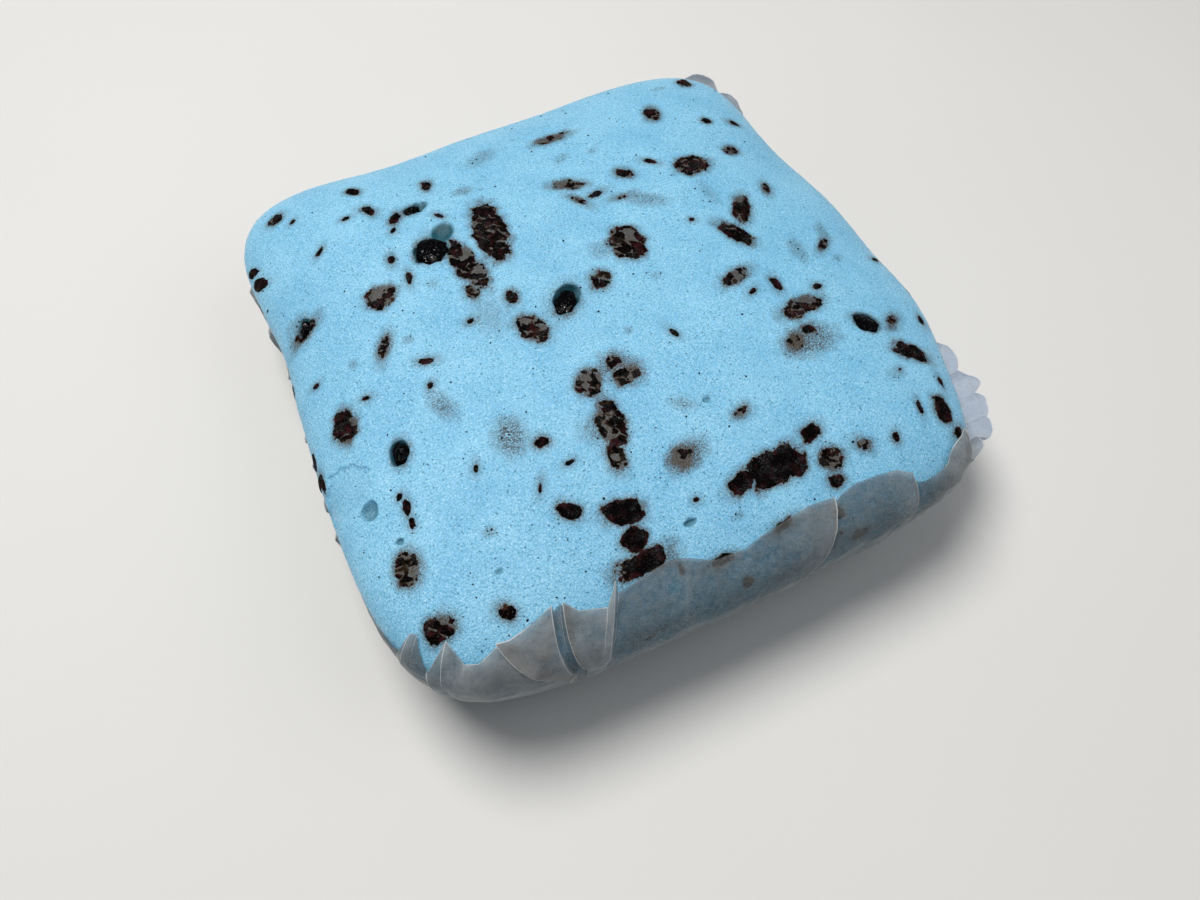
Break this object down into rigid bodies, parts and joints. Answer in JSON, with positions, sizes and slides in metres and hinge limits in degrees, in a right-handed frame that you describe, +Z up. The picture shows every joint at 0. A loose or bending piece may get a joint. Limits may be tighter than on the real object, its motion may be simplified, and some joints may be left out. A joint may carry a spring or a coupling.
{
  "type": "steamed cake",
  "caption": "Square pale blue steamed sponge cake with chocolate flakes, puffed over the rim of its thin pleated paper case.",
  "frame": {"origin": "middle of the paper case's flat underside", "axes": "+Z up, +X along the front side to the right, +Y from the front side to the back"},
  "size_m": [0.1226, 0.1193, 0.0368],
  "materials": {
    "sponge": "moist fine-pored sponge with dark chocolate flakes",
    "case_paper": "thin translucent glassine"
  },
  "bodies": {
    "root": {"cake": "sponge", "paper_case": "case_paper"}
  },
  "joints": []
}
